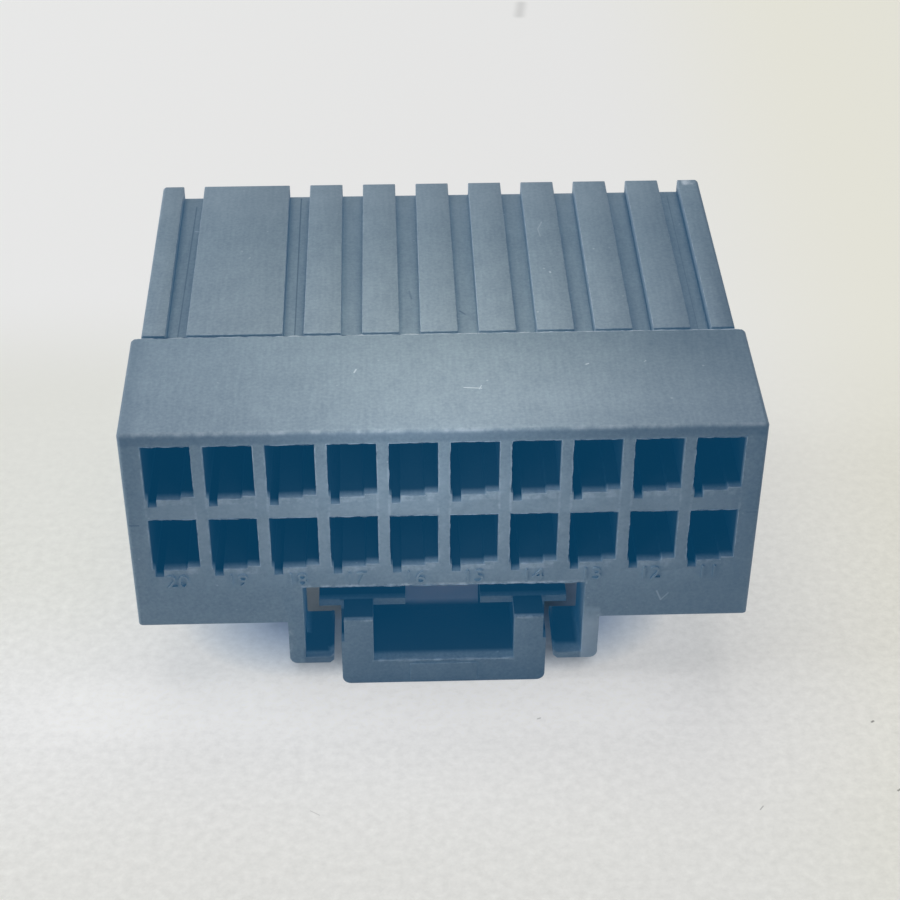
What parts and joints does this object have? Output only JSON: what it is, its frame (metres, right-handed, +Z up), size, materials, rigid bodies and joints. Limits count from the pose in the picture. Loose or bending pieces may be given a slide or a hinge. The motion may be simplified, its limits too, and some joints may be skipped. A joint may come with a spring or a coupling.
{
  "type": "receptacle connector housing",
  "caption": "Receptacle housing for crimped wires, with a thick wire-side block, a ribbed keyed mating end and a central press-to-release latch.",
  "frame": {"origin": "under the middle of the housing, on the surface that the press pad and the locking catch rest on", "axes": "+X along the rows of circuits, +Y from the wire side to the mating side, +Z up, away from the latch"},
  "size_m": [0.021, 0.0156, 0.0113],
  "materials": {
    "housing_plastic": "fine spark-eroded mould texture, satin to matt"
  },
  "bodies": {
    "root": {"housing": "housing_plastic"}
  },
  "joints": []
}
